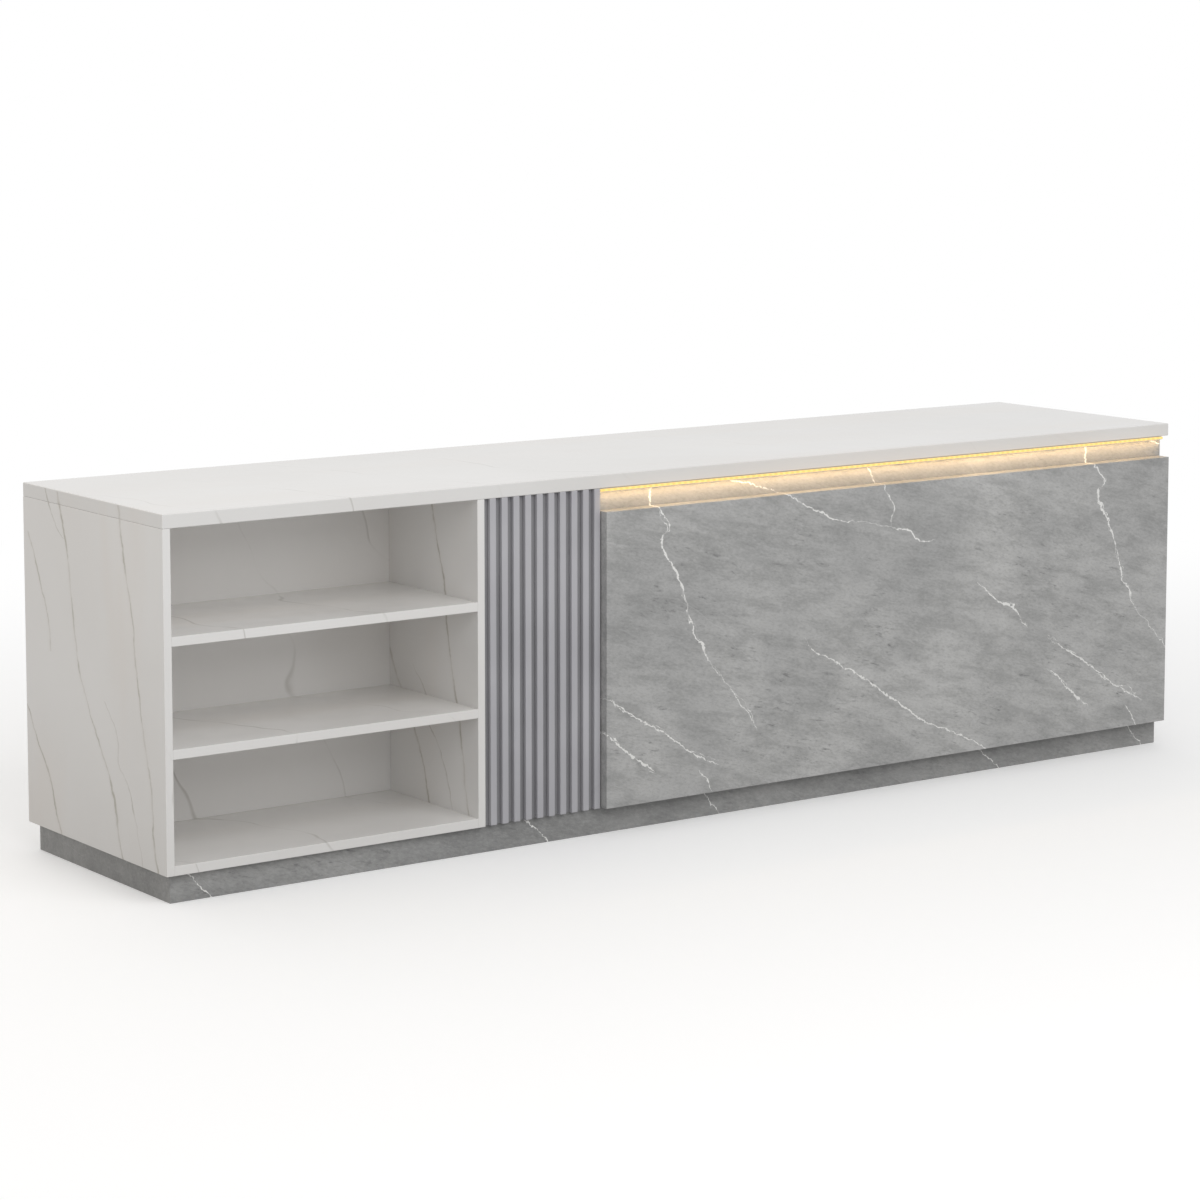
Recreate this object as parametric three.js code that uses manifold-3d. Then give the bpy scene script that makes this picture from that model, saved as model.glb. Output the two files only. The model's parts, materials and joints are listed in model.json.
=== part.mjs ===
// Retail checkout counter: a long worktop on a board carcass. From the customer's side it has an
// open display bay with two shelves on the left, a slatted panel beside it, and a marble-look
// panel on the right that stands proud below a lit recess. The staff side holds a shallow
// cupboard, three drawers, a kneehole with a keyboard tray, and open bag shelves.
// Units are millimetres. X runs along the counter, -Y faces the customer and +Z is up. The origin
// is on the floor, at the middle of the whole counter.
import * as THREE from 'three';
import { mergeVertices } from 'three/addons/utils/BufferGeometryUtils.js';
import Module from 'manifold-3d';

const wasm = await Module();
wasm.setup();

// Driving dimensions
const LENGTH = 2800; // worktop, end to end
const DEPTH = 620; // worktop, customer edge to staff edge
const HEIGHT = 800; // floor to the top of the worktop
const SLAB = 30; // worktop thickness
const BOARD = 18; // carcass boards, doors and drawer fronts
const SHELF = 20; // display shelves and the display's bottom board
const PLINTH = 60; // plinth height
const PROUD = 20; // how far the marble panel stands out past the worktop's edge
const RECESS = 16; // how far the lit recess and the plinth sit back from the worktop's edge
const RIGHT_OVERHANG = 14; // worktop past the right end panel
const PLINTH_INSET = 15; // plinth back from the ends of the worktop
const STAFF_OVERHANG = 40; // worktop past the carcass on the staff side

const DISPLAY_WIDTH = 738; // inside the display bay
const DISPLAY_DEPTH = 353; // worktop edge to the bay's back panel
const SHELF_TOPS = [550, 319]; // upper and lower display shelf
const STORAGE_SHELF_TOP = 430; // shelf in the cupboard behind the display
const STORAGE_SHELF_SETBACK = 10; // that shelf behind the carcass's staff edge

const SLATS = 10;
const SLAT_PITCH = 30.4;
const SLAT_WIDTH = 16;
const SLAT_DEPTH = 10;
const SLAT_MARGIN = 14; // display upright to the first slat
const SLAT_FIELD = 306; // width of the slatted panel

const PANEL_TOP = 720;
const PANEL_BOTTOM = 62;
const PANEL_END_GAP = 3; // marble panel back from the carcass's right end

const DRAWER_UNIT = 444; // inside the drawer unit
const KNEEHOLE = 800; // between the drawer unit and the bag shelves
const BAG_SHELF_TOP = 420;

const REVEAL = 3; // gap between neighbouring doors and drawer fronts
const TOP_GAP = 4; // worktop to the doors and the top drawer's front
const DOOR_LIFT = 2; // doors above the top of the plinth
const FRONT_GAP = 0.5; // carcass edge to the back of a door or drawer front
const SIDE_GAP = 2; // left end panel to the left door
const FRONT_HEIGHTS = [140, 240, 318]; // drawer fronts, from the top down
const BOX_HEIGHTS = [78, 185, 250]; // the drawer boxes behind them
const BOX_LENGTH = 450;
const BOX_LIFT = 25; // drawer box above the lower edge of its front
const BOX_WALL = 12;
const BOX_FLOOR = 8;
const RUNNER = 12.7; // space taken by a runner beside a drawer or tray
const RUNNER_HEIGHT = 45;
const RUNNER_WALL = 2;
const RUNNER_HOOK = 9; // the returns at the runner's open side
const RUNNER_LIFT = 60; // runner's middle above the floor of a deep drawer box
const RUNNER_SETBACK = 2; // runner behind the carcass's staff edge
const RUNNING_GAP = 1; // runner to drawer box

const TRAY_DEPTH = 330;
const TRAY_TOP = 658;
const TRAY_LIP = 10;
const TRAY_SETBACK = 5; // tray behind the carcass's staff edge

const HANDLE = { span: 128, bar: 7, reach: 21, deep: 10 };
const HANDLE_EDGE = 40; // door handle in from the door's free edge
const DOOR_HANDLE_Z = 496; // floor to the middle of a door handle
const LOCK = { radius: 9, collar: 11, collarDepth: 2, hole: 9.4, drop: 18, inset: 1.5, chamfer: 0.5 };
const ROUND = 24; // sides of the lock's circles

const LED = { height: 8, depth: 9, wall: 1, drop: 1.5, lens: 1.6, bulge: 4, steps: 10, endGap: 2 };
const DRIVER = { length: 160, width: 44, base: 3, body: 26, flange: 8, middle: 700, fromNotch: 40 };
const LEAD = { radius: 2, sides: 8, steps: 16 };
const LEAD_NOTCH = { width: 12, depth: 9, fromPartition: 22 };
const CONTACT = 0.3; // gap left where a cut piece or a lead meets its neighbour
const PAST = 5; // how far a cutting solid runs past the face that it cuts

// Planes worked out from those
const LEFT = -LENGTH / 2;
const RIGHT = LENGTH / 2;
const STAFF = (DEPTH + PROUD) / 2; // the worktop's staff edge
const FRONT = STAFF - DEPTH; // the worktop's customer edge
const UNDER = HEIGHT - SLAB; // underside of the worktop
const BODY_BACK = STAFF - STAFF_OVERHANG; // staff edges of the carcass boards
const FRONTS_IN = BODY_BACK + FRONT_GAP; // inner face of doors and drawer fronts
const FRONTS_OUT = FRONTS_IN + BOARD; // their outer face
const RECESS_FACE = FRONT + RECESS;
const INNER_FRONT = RECESS_FACE + BOARD; // staff face of the carcass's front board
const BODY_RIGHT = RIGHT - RIGHT_OVERHANG;
const DISPLAY_LEFT = LEFT + BOARD;
const DISPLAY_RIGHT = DISPLAY_LEFT + DISPLAY_WIDTH;
const DISPLAY_BACK = FRONT + DISPLAY_DEPTH;
const SLATS_LEFT = DISPLAY_RIGHT + BOARD; // right face of the display's right upright
const PANEL_LEFT = SLATS_LEFT + SLAT_FIELD;
const UNIT_RIGHT = SLATS_LEFT + DRAWER_UNIT;
const KNEE_LEFT = UNIT_RIGHT + BOARD;
const KNEE_RIGHT = KNEE_LEFT + KNEEHOLE;
const BAGS_LEFT = KNEE_RIGHT + BOARD;
const FLOOR_TOP = PLINTH + BOARD; // top of the long bottom board

function finish(color, roughness, metalness = 0) {
  return new THREE.MeshStandardMaterial({ color, roughness, metalness });
}

const WHITE_MARBLE = finish(0xe6e3df, 0.15);
const GREY_MARBLE = finish(0x9d9d99, 0.25);
const SLAT_PAINT = finish(0xbab9bd, 0.55);
const BACKING_PAINT = finish(0x939396, 0.55);
const CARCASS_WHITE = finish(0xe2e0dc, 0.45);
const DRAWER_LINING = finish(0xcfccc6, 0.5);
const STEEL = finish(0xb4b6b8, 0.3, 1);
const ZINC = finish(0x9ea1a4, 0.4, 1);
const ALUMINIUM = finish(0xc4c6c8, 0.35, 1);
const LENS = finish(0xf6dc96, 0.4);
const BLACK_PLASTIC = finish(0x26272a, 0.5);

const counter = new THREE.Group();

function place(name, geometry, material, at = [0, 0, 0]) {
  const mesh = new THREE.Mesh(geometry, material);
  mesh.name = name;
  mesh.position.set(...at);
  counter.add(mesh);
}

function box([x0, x1], [y0, y1], [z0, z1]) {
  const geometry = new THREE.BoxGeometry(x1 - x0, y1 - y0, z1 - z0);
  return geometry.translate((x0 + x1) / 2, (y0 + y1) / 2, (z0 + z1) / 2);
}

function board(name, xs, ys, zs, material) {
  place(name, box(xs, ys, zs), material);
}

function outline(points) {
  return new THREE.Shape(points.map(([a, b]) => new THREE.Vector2(a, b)));
}

function extrude(points, depth) {
  return new THREE.ExtrudeGeometry(outline(points), { depth, bevelEnabled: false });
}

// A section drawn as [y, z] points, run along X.
function alongX(points, [x0, x1]) {
  const turn = new THREE.Matrix4().makeBasis(
    new THREE.Vector3(0, 1, 0), new THREE.Vector3(0, 0, 1), new THREE.Vector3(1, 0, 0));
  return extrude(points, x1 - x0).applyMatrix4(turn).translate(x0, 0, 0);
}

// A section drawn as [x, z] points, run along Y.
function alongY(points, [y0, y1]) {
  const turn = new THREE.Matrix4().makeBasis(
    new THREE.Vector3(1, 0, 0), new THREE.Vector3(0, 0, 1), new THREE.Vector3(0, -1, 0));
  return extrude(points, y1 - y0).applyMatrix4(turn).translate(0, y1, 0);
}

function solid(geometry) {
  const bare = geometry.clone();
  bare.deleteAttribute('normal');
  bare.deleteAttribute('uv');
  const merged = mergeVertices(bare, 1e-4);
  return new wasm.Manifold(new wasm.Mesh({
    numProp: 3,
    vertProperties: new Float32Array(merged.attributes.position.array),
    triVerts: new Uint32Array(merged.index.array),
  }));
}

function cut(geometry, tool) {
  const mesh = solid(geometry).subtract(solid(tool)).getMesh();
  const result = new THREE.BufferGeometry();
  result.setAttribute('position', new THREE.BufferAttribute(mesh.vertProperties, 3));
  result.setIndex(new THREE.BufferAttribute(mesh.triVerts, 1));
  return result;
}

function worktop() {
  board('worktop', [LEFT, RIGHT], [FRONT, STAFF], [UNDER, HEIGHT], WHITE_MARBLE);
}

function displayBay() {
  const inside = [DISPLAY_LEFT, DISPLAY_RIGHT];
  const bay = [FRONT, DISPLAY_BACK];
  board('left_end_panel', [LEFT, DISPLAY_LEFT], [FRONT, STAFF], [PLINTH, UNDER], WHITE_MARBLE);
  board('display_right_upright', [DISPLAY_RIGHT, SLATS_LEFT], [FRONT, BODY_BACK], [PLINTH, UNDER],
    WHITE_MARBLE);
  board('display_bottom', inside, [FRONT, BODY_BACK], [PLINTH, PLINTH + SHELF], WHITE_MARBLE);
  board('display_back_panel', inside, [DISPLAY_BACK, DISPLAY_BACK + BOARD],
    [PLINTH + SHELF, UNDER], WHITE_MARBLE);
  board('shelf_upper', inside, bay, [SHELF_TOPS[0] - SHELF, SHELF_TOPS[0]], WHITE_MARBLE);
  board('shelf_lower', inside, bay, [SHELF_TOPS[1] - SHELF, SHELF_TOPS[1]], WHITE_MARBLE);
}

function slattedPanel() {
  const backingFace = FRONT + SLAT_DEPTH;
  board('slat_backing', [SLATS_LEFT, PANEL_LEFT], [backingFace, RECESS_FACE], [PLINTH, UNDER],
    BACKING_PAINT);
  for (let i = 0; i < SLATS; i += 1) {
    const x = SLATS_LEFT + SLAT_MARGIN + i * SLAT_PITCH;
    board(`slat_${String(i + 1).padStart(2, '0')}`, [x, x + SLAT_WIDTH], [FRONT, backingFace],
      [PLINTH, UNDER], SLAT_PAINT);
  }
}

// Two boards laminated together, so the panel's edges are twice the board's thickness.
function marblePanel() {
  const across = [PANEL_LEFT, BODY_RIGHT - PANEL_END_GAP];
  const up = [PANEL_BOTTOM, PANEL_TOP];
  const face = FRONT - PROUD;
  board('front_marble_panel', across, [face, face + BOARD], up, GREY_MARBLE);
  board('front_panel_core', across, [face + BOARD, RECESS_FACE], up, GREY_MARBLE);
}

// The board behind the slats and the marble panel. Its top strip is the face of the lit recess,
// and a notch in its top edge lets the light's lead through.
const NOTCH_X = BAGS_LEFT + LEAD_NOTCH.fromPartition;
function carcassFront() {
  const half = LEAD_NOTCH.width / 2;
  const slab = box([SLATS_LEFT, BODY_RIGHT], [RECESS_FACE, INNER_FRONT], [PLINTH, UNDER]);
  const notch = box([NOTCH_X - half, NOTCH_X + half], [RECESS_FACE - PAST, INNER_FRONT + PAST],
    [UNDER - LEAD_NOTCH.depth, UNDER + PAST]);
  place('carcass_front_board', cut(slab, notch), GREY_MARBLE);
}

function carcass() {
  const depth = [INNER_FRONT, BODY_BACK];
  board('module_bottom', [SLATS_LEFT, BODY_RIGHT - BOARD], depth, [PLINTH, FLOOR_TOP],
    CARCASS_WHITE);
  board('drawer_partition', [UNIT_RIGHT, KNEE_LEFT], depth, [FLOOR_TOP, UNDER], CARCASS_WHITE);
  board('kneehole_partition', [KNEE_RIGHT, BAGS_LEFT], depth, [FLOOR_TOP, UNDER], CARCASS_WHITE);
  board('right_end_panel', [BODY_RIGHT - BOARD, BODY_RIGHT], [INNER_FRONT, FRONTS_OUT],
    [PLINTH, UNDER], WHITE_MARBLE);
  board('bag_shelf', [BAGS_LEFT, BODY_RIGHT - BOARD], depth, [BAG_SHELF_TOP - BOARD, BAG_SHELF_TOP],
    CARCASS_WHITE);
  const stored = [DISPLAY_BACK + BOARD, BODY_BACK - STORAGE_SHELF_SETBACK];
  board('storage_shelf', [DISPLAY_LEFT, DISPLAY_RIGHT], stored,
    [STORAGE_SHELF_TOP - BOARD, STORAGE_SHELF_TOP], CARCASS_WHITE);
}

function plinth() {
  const ends = [LEFT + PLINTH_INSET, RIGHT - PLINTH_INSET];
  const up = [0, PLINTH];
  const between = [INNER_FRONT, BODY_BACK];
  board('plinth_front', ends, [RECESS_FACE, INNER_FRONT], up, GREY_MARBLE);
  board('plinth_rear', ends, [BODY_BACK, BODY_BACK + BOARD], up, GREY_MARBLE);
  board('plinth_left', [ends[0], ends[0] + BOARD], between, up, GREY_MARBLE);
  board('plinth_right', [ends[1] - BOARD, ends[1]], between, up, GREY_MARBLE);
}

// The lens clips into the channel's mouth and its front bulges out in half an ellipse.
function lens(run, face, [low, high]) {
  const middle = (low + high) / 2;
  const half = (high - low) / 2;
  const section = [[face + LED.lens, low], [face + LED.lens, high]];
  for (let i = 0; i <= LED.steps; i += 1) {
    const turn = (i / LED.steps) * Math.PI;
    section.push([face - LED.bulge * Math.sin(turn), middle + half * Math.cos(turn)]);
  }
  return alongX(section, run);
}

// The light: a channel in the top corner of the recess, its lens, its driver and its lead.
const LED_TOP = UNDER - LED.drop;
function recessLight() {
  const run = [PANEL_LEFT + LED.endGap, BODY_RIGHT - LED.endGap];
  const face = RECESS_FACE - LED.depth;
  const foot = LED_TOP - LED.height;
  const back = RECESS_FACE;
  place('led_channel', alongX([
    [back, foot], [back, LED_TOP], [face, LED_TOP], [face, LED_TOP - LED.wall],
    [back - LED.wall, LED_TOP - LED.wall], [back - LED.wall, foot + LED.wall],
    [face, foot + LED.wall], [face, foot],
  ], run), ALUMINIUM);
  place('led_lens', lens(run, face, [foot + LED.wall, LED_TOP - LED.wall]), LENS);
}

const DRIVER_X = NOTCH_X + DRIVER.fromNotch;
const DRIVER_Z = DRIVER.middle;
function driver() {
  const face = INNER_FRONT;
  const low = DRIVER_Z - DRIVER.width / 2;
  const high = DRIVER_Z + DRIVER.width / 2;
  place('led_driver', alongX([
    [face, low], [face + DRIVER.base, low], [face + DRIVER.base, low + DRIVER.flange],
    [face + DRIVER.body, low + DRIVER.flange], [face + DRIVER.body, high - DRIVER.flange],
    [face + DRIVER.base, high - DRIVER.flange], [face + DRIVER.base, high], [face, high],
  ], [DRIVER_X, DRIVER_X + DRIVER.length]), BLACK_PLASTIC);
}

// The lead leaves the driver's end, turns up and runs through the notch to the channel.
function lead() {
  const y = INNER_FRONT + DRIVER.body / 2;
  const z = LED_TOP - LED.height / 2;
  const route = new THREE.CatmullRomCurve3([
    [DRIVER_X - CONTACT, y, DRIVER_Z], [DRIVER_X - 14, y, DRIVER_Z + 1],
    [NOTCH_X + 12, y, DRIVER_Z + 7], [NOTCH_X + 2, y, DRIVER_Z + 20],
    [NOTCH_X, y - 1, DRIVER_Z + 38], [NOTCH_X, y - 3, z - 11], [NOTCH_X, y - 9, z - 2],
    [NOTCH_X, RECESS_FACE + 12, z], [NOTCH_X, RECESS_FACE + CONTACT, z],
  ].map((p) => new THREE.Vector3(...p)));
  const ring = Array.from({ length: LEAD.sides }, (_, i) => {
    const turn = (i / LEAD.sides) * 2 * Math.PI;
    return [LEAD.radius * Math.cos(turn), LEAD.radius * Math.sin(turn)];
  });
  const tube = new THREE.ExtrudeGeometry(outline(ring), { steps: LEAD.steps, extrudePath: route });
  place('led_lead', tube, BLACK_PLASTIC);
}

// A C-section runner on the cabinet's side; side is +1 where it opens towards +X.
function runner(name, wall, side, [y0, y1], middle) {
  const out = side * (RUNNER - RUNNING_GAP);
  const t = RUNNER_WALL;
  const lower = middle - RUNNER_HEIGHT / 2;
  const upper = middle + RUNNER_HEIGHT / 2;
  const web = wall + side * t;
  const edge = wall + out;
  const lip = edge - side * t;
  const section = [
    [wall, lower], [edge, lower], [edge, lower + RUNNER_HOOK], [lip, lower + RUNNER_HOOK],
    [lip, lower + t], [web, lower + t], [web, upper - t], [lip, upper - t],
    [lip, upper - RUNNER_HOOK], [edge, upper - RUNNER_HOOK], [edge, upper], [wall, upper],
  ];
  place(name, alongY(section, [y0, y1]), ZINC);
}

// A bow handle seen as a flat U: long is the direction of its bar.
function bowHandle(name, long, [x, z], material) {
  const half = HANDLE.span / 2;
  const out = FRONTS_OUT + HANDLE.reach;
  const grip = out - HANDLE.bar;
  const u = [
    [-half, FRONTS_OUT], [-half + HANDLE.bar, FRONTS_OUT], [-half + HANDLE.bar, grip],
    [half - HANDLE.bar, grip], [half - HANDLE.bar, FRONTS_OUT], [half, FRONTS_OUT],
    [half, out], [-half, out],
  ];
  const deep = HANDLE.deep / 2;
  if (long === 'x') {
    place(name, extrude(u, HANDLE.deep).translate(x, 0, z - deep), material);
  } else {
    place(name, alongX(u.map(([a, b]) => [b, a + z]), [x - deep, x + deep]), material);
  }
}

function drawers() {
  const across = [SLATS_LEFT + RUNNER, UNIT_RIGHT - RUNNER];
  const front = [SLATS_LEFT - BOARD / 2 + REVEAL / 2, KNEE_LEFT - FRONT_GAP];
  const middle = (front[0] + front[1]) / 2;
  const back = FRONTS_IN - BOX_LENGTH;
  let top = UNDER - TOP_GAP;
  ['top', 'middle', 'bottom'].forEach((which, i) => {
    const low = top - FRONT_HEIGHTS[i];
    const floor = low + BOX_LIFT;
    const rim = floor + BOX_HEIGHTS[i];
    const outer = box(across, [back, FRONTS_IN], [floor, rim]);
    const inner = box([across[0] + BOX_WALL, across[1] - BOX_WALL],
      [back + BOX_WALL, FRONTS_IN - BOX_WALL], [floor + BOX_FLOOR, rim + PAST]);
    place(`drawer_${which}_box`, cut(outer, inner), DRAWER_LINING);
    let face = box(front, [FRONTS_IN, FRONTS_OUT], [low, top]);
    if (i === 0) {
      face = cut(face, lockTool(middle, top - LOCK.drop));
      lock(middle, top - LOCK.drop);
    }
    place(`drawer_${which}_front`, face, WHITE_MARBLE);
    bowHandle(`drawer_${which}_handle`, 'x', [middle, (low + top) / 2], STEEL);
    const centre = floor + Math.min(BOX_HEIGHTS[i] / 2, RUNNER_LIFT);
    const length = [back, BODY_BACK - RUNNER_SETBACK];
    runner(`drawer_${which}_runner_left`, SLATS_LEFT, 1, length, centre);
    runner(`drawer_${which}_runner_right`, UNIT_RIGHT, -1, length, centre);
    top = low - REVEAL;
  });
}

function disc(radius, [y0, y1], [x, z]) {
  const round = new THREE.CylinderGeometry(radius, radius, y1 - y0, ROUND);
  return round.translate(x, (y0 + y1) / 2, z);
}

function lockTool(x, z) {
  return disc(LOCK.hole, [FRONTS_IN - PAST, FRONTS_OUT + PAST], [x, z]);
}

// The lock's plug: a barrel through the drawer front with a collar outside it.
function lock(x, z) {
  const inside = FRONTS_IN + LOCK.inset;
  const outside = FRONTS_OUT + CONTACT;
  const lip = outside + LOCK.collarDepth;
  const profile = [[0, inside], [LOCK.radius, inside], [LOCK.radius, outside],
    [LOCK.collar, outside], [LOCK.collar, lip - LOCK.chamfer], [LOCK.collar - LOCK.chamfer, lip],
    [0, lip]];
  const turned = new THREE.LatheGeometry(profile.map(([r, y]) => new THREE.Vector2(r, y)), ROUND);
  place('cash_lock', turned.translate(x, 0, z), STEEL);
}

function storageDoors() {
  const zs = [PLINTH + DOOR_LIFT, UNDER - TOP_GAP];
  const ys = [FRONTS_IN, FRONTS_OUT];
  const left = DISPLAY_LEFT + SIDE_GAP;
  const right = DISPLAY_RIGHT + BOARD / 2 - REVEAL / 2;
  const middle = (left + right) / 2;
  board('storage_door_left', [left, middle - REVEAL / 2], ys, zs, WHITE_MARBLE);
  board('storage_door_right', [middle + REVEAL / 2, right], ys, zs, WHITE_MARBLE);
  bowHandle('storage_handle_left', 'z', [middle - HANDLE_EDGE, DOOR_HANDLE_Z], STEEL);
  bowHandle('storage_handle_right', 'z', [middle + HANDLE_EDGE, DOOR_HANDLE_Z], STEEL);
}

function keyboardTray() {
  const back = BODY_BACK - TRAY_SETBACK - TRAY_DEPTH;
  const edge = BODY_BACK - TRAY_SETBACK;
  const under = TRAY_TOP - BOARD;
  place('keyboard_tray', alongX([
    [back, under], [edge, under], [edge, TRAY_TOP + TRAY_LIP], [edge - BOARD, TRAY_TOP + TRAY_LIP],
    [edge - BOARD, TRAY_TOP], [back, TRAY_TOP],
  ], [KNEE_LEFT + RUNNER, KNEE_RIGHT - RUNNER]), CARCASS_WHITE);
  const middle = TRAY_TOP - BOARD / 2;
  runner('tray_runner_left', KNEE_LEFT, 1, [back, edge], middle);
  runner('tray_runner_right', KNEE_RIGHT, -1, [back, edge], middle);
}

worktop();
displayBay();
slattedPanel();
marblePanel();
carcassFront();
carcass();
plinth();
recessLight();
driver();
lead();
drawers();
storageDoors();
keyboardTray();

export default counter;
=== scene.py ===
"""The looks of a retail checkout counter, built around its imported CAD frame.

Lengths are metres in the part's frame: X along the counter, -Y towards the customer, +Z up.
Places come from the CAD nodes' boxes. MM turns millimetres into metres.
"""
import json
import math

import bmesh
import bpy
from mathutils import Matrix, Vector

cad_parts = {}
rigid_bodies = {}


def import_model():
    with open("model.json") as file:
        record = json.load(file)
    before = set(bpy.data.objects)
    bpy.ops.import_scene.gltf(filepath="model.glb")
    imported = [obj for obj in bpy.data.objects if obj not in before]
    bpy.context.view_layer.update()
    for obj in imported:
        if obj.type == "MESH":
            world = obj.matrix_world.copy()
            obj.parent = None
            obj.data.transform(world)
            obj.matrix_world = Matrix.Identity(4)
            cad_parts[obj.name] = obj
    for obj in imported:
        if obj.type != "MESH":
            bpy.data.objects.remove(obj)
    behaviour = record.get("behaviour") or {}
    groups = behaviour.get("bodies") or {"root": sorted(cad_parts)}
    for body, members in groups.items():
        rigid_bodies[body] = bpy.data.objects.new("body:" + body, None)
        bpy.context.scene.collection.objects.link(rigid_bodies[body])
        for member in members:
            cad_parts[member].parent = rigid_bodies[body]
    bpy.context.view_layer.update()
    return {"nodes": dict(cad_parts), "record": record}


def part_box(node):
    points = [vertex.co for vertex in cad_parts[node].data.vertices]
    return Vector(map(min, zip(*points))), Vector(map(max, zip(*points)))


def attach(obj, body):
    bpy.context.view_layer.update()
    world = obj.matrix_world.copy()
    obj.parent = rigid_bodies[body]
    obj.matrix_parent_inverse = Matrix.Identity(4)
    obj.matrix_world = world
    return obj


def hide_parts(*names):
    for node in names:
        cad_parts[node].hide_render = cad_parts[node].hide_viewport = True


# The scene starts empty, whatever file Blender has opened.
for leftover in list(bpy.data.objects):
    bpy.data.objects.remove(leftover)

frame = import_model()
NODES = frame["nodes"]
MM = 0.001


# ---------------------------------------------------------------- camera, floor and light

def set_camera():
    """A long lens above and to the left of the customer's side."""
    data = bpy.data.cameras.new("camera")
    data.lens = 104.2
    data.shift_y = -0.15
    data.clip_end = 100
    camera = bpy.data.objects.new("camera", data)
    bpy.context.scene.collection.objects.link(camera)
    camera.location = (-4.693, -6.394, 1.756)
    down, right = 6.36, 35.64  # the view's degrees below the level and to the right of +Y
    camera.rotation_euler = (math.radians(90 - down), 0, math.radians(-right))
    bpy.context.scene.camera = camera


def white_out(tree, lit, mirrored, seen):
    """The studio's white: a value where it lights, where it shows in gloss, and where it is seen."""
    path = tree.nodes.new("ShaderNodeLightPath")
    value = lit
    for ray, strength in (("Is Glossy Ray", mirrored), ("Is Camera Ray", seen)):
        step = tree.nodes.new("ShaderNodeMapRange")
        if isinstance(value, bpy.types.NodeSocket):
            tree.links.new(value, step.inputs["To Min"])
        else:
            step.inputs["To Min"].default_value = value
        step.inputs["To Max"].default_value = strength
        tree.links.new(path.outputs[ray], step.inputs["Value"])
        value = step.outputs["Result"]
    return value


def set_world():
    """White all round, which lights the counter softly."""
    world = bpy.data.worlds.new("studio")
    bpy.context.scene.world = world
    world.use_nodes = True
    shade = world.node_tree.nodes["Background"]
    shade.inputs["Color"].default_value = (1, 1, 1, 1)
    world.node_tree.links.new(white_out(world.node_tree, 0.52, 0.9, 1.0), shade.inputs["Strength"])


FADE_START = 1.2  # how far from the counter's middle the floor begins to fade
FADE_END = 4.5
FLOOR_HALF = 40


def floor_material():
    """A pale matt floor near the counter, which fades into the white background around it."""
    material = bpy.data.materials.new("floor")
    material.use_nodes = True
    tree = material.node_tree
    surface = tree.nodes["Principled BSDF"]
    tree.links.new(white_out(tree, 0.36, 0.6, 0.9), surface.inputs["Base Color"])
    surface.inputs["Roughness"].default_value = 0.7
    surface.inputs["Emission Color"].default_value = (1, 1, 1, 1)
    tree.links.new(white_out(tree, 0, 0.2, 0.2), surface.inputs["Emission Strength"])
    place = tree.nodes.new("ShaderNodeTexCoord")
    distance = tree.nodes.new("ShaderNodeVectorMath")
    distance.operation = "LENGTH"
    fade = tree.nodes.new("ShaderNodeMapRange")
    fade.interpolation_type = "SMOOTHSTEP"
    fade.inputs["From Min"].default_value = FADE_START
    fade.inputs["From Max"].default_value = FADE_END
    glow = tree.nodes.new("ShaderNodeEmission")
    mix = tree.nodes.new("ShaderNodeMixShader")
    tree.links.new(place.outputs["Object"], distance.inputs[0])
    tree.links.new(distance.outputs["Value"], fade.inputs["Value"])
    tree.links.new(white_out(tree, 0.6, 0.8, 1.0), glow.inputs["Strength"])
    tree.links.new(fade.outputs["Result"], mix.inputs["Fac"])
    tree.links.new(surface.outputs[0], mix.inputs[1])
    tree.links.new(glow.outputs[0], mix.inputs[2])
    tree.links.new(mix.outputs[0], tree.nodes["Material Output"].inputs["Surface"])
    return material


def set_floor():
    mesh = bpy.data.meshes.new("floor")
    signs = ((-1, -1), (1, -1), (1, 1), (-1, 1))
    mesh.from_pydata([(FLOOR_HALF * x, FLOOR_HALF * y, 0) for x, y in signs], [], [(0, 1, 2, 3)])
    mesh.materials.append(floor_material())
    floor = bpy.data.objects.new("floor", mesh)
    bpy.context.scene.collection.objects.link(floor)


def area_light(name, place, target, size, watts, color=(1, 1, 1), mirrored=False):
    """A rectangular light aimed at target; mirrored says whether glossy surfaces show it."""
    data = bpy.data.lights.new(name, "AREA")
    data.shape = "RECTANGLE"
    data.size, data.size_y = size
    data.energy = watts
    data.color = color
    light = bpy.data.objects.new(name, data)
    bpy.context.scene.collection.objects.link(light)
    light.location = place
    light.rotation_euler = (Vector(target) - Vector(place)).to_track_quat("-Z", "Y").to_euler()
    light.visible_camera = False
    light.visible_glossy = mirrored


def recess_glow():
    """Warm light from just below the lens, on the recess's face and on the ledge."""
    low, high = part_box("led_lens")
    panel_low, panel_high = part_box("front_marble_panel")
    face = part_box("carcass_front_board")[0].y
    middle = (low + high) / 2
    long = high.x - low.x
    warm = (1.0, 0.66, 0.3)
    front = Vector((middle.x, panel_low.y + 4 * MM, (low.z + panel_high.z) / 2))
    area_light("recess_glow", front, (middle.x, face, front.z), (long, 24 * MM), 0.11, warm, True)
    above = Vector((middle.x, middle.y, low.z - 1 * MM))
    area_light("ledge_glow", above, (middle.x, middle.y, 0), (long, 5 * MM), 0.48, warm, True)


def set_lights():
    recess_glow()
    area_light("key", (-0.5, -4.8, 3.9), (0, 0, 0.4), (7, 4), 150)
    area_light("overhead", (-1.7, 0.5, 3.4), (-1.2, 0, 0.8), (3, 2), 7, (1.0, 0.88, 0.74))
    area_light("rear", (0.6, 5.4, 1.9), (0, 0, 0.4), (6, 3), 50)
    area_light("warm_side", (-5.2, 0.6, 2.6), (-1.4, 0, 0.6), (2.5, 2.5), 18, (1.0, 0.86, 0.68))


# ---------------------------------------------------------------- procedural materials

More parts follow.
